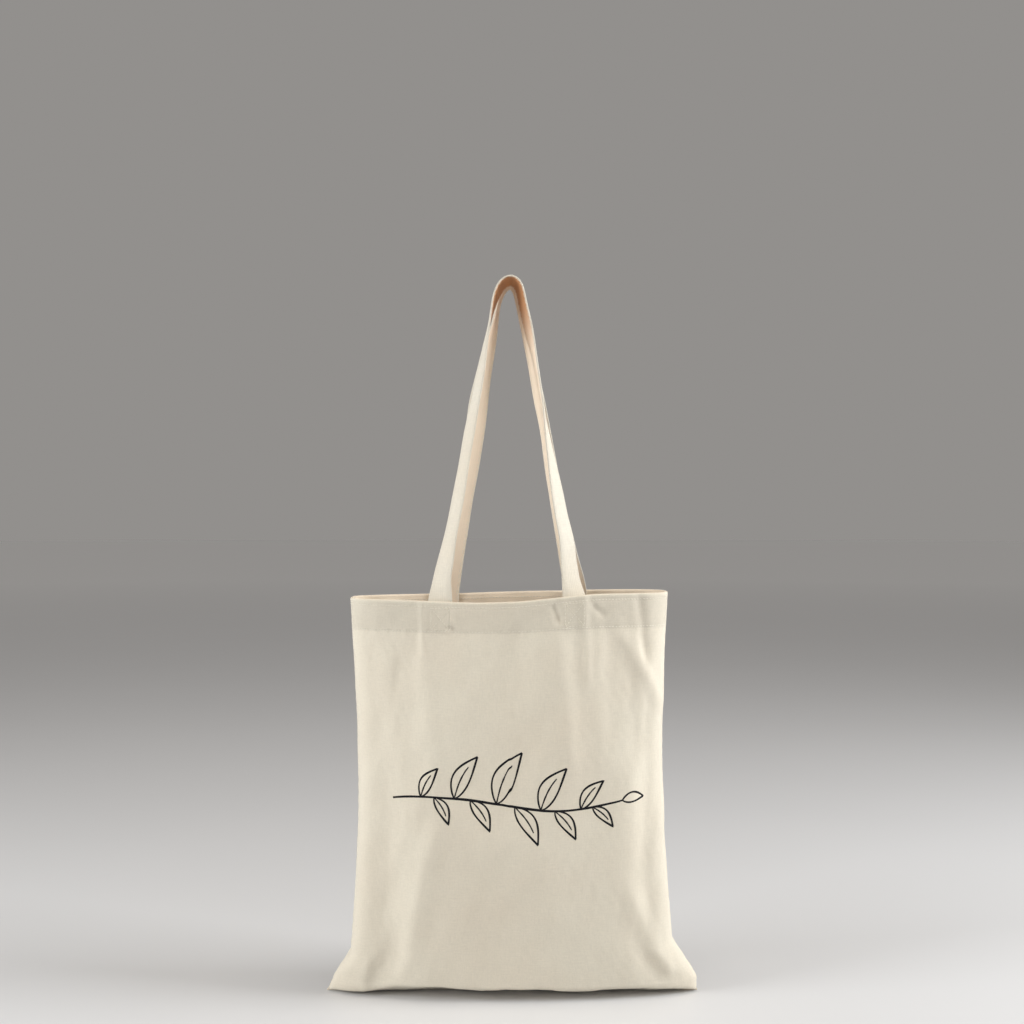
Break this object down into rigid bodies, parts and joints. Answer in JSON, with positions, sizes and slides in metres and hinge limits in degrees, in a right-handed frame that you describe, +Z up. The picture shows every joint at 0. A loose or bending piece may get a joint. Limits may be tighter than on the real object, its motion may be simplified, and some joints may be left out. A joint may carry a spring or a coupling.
{
  "type": "canvas tote bag",
  "caption": "Open-topped canvas shopping bag standing on its base, with a stitched hem and long strap handles that fold down outside.",
  "frame": {"origin": "centre of the bag's footprint on the surface it stands on", "axes": "+Z up, +X along the mouth to the right when facing the front panel, -Y out of the front panel"},
  "size_m": [0.38, 0.1234, 0.7319],
  "materials": {
    "canvas": "matt undyed cotton canvas, plain weave, with cream and beige slubs",
    "strap_webbing": "matt undyed cotton canvas folded into a strap, slightly lighter than the panels",
    "thread": "natural cotton sewing thread",
    "ink": "matt black screen-print ink soaked into the canvas"
  },
  "bodies": {
    "bag": {"front_panel": "canvas", "front_hem": "canvas", "front_edge_stitching": "thread", "front_hem_stitching": "thread", "front_handle_left_end": "strap_webbing", "front_handle_right_end": "strap_webbing", "front_left_box_stitch": "thread", "front_right_box_stitch": "thread", "back_panel": "canvas", "back_hem": "canvas", "back_edge_stitching": "thread", "back_hem_stitching": "thread", "back_handle_left_end": "strap_webbing", "back_handle_right_end": "strap_webbing", "back_left_box_stitch": "thread", "back_right_box_stitch": "thread", "left_seam_allowance": "canvas", "left_seam_overlock": "thread", "right_seam_allowance": "canvas", "right_seam_overlock": "thread", "base_seam_allowance": "canvas", "base_seam_overlock": "thread"},
    "front_handle": {"front_handle": "strap_webbing"},
    "back_handle": {"back_handle": "strap_webbing"}
  },
  "joints": [
    {"name": "front_handle_fold", "type": "hinge", "parent": "bag", "child": "front_handle", "pos_m": [0, -0.04885, 0.4045], "axis": [1, 0, 0], "range_deg": [0, 172]},
    {"name": "back_handle_fold", "type": "hinge", "parent": "bag", "child": "back_handle", "pos_m": [0, 0.04885, 0.4045], "axis": [-1, 0, 0], "range_deg": [0, 172]}
  ]
}
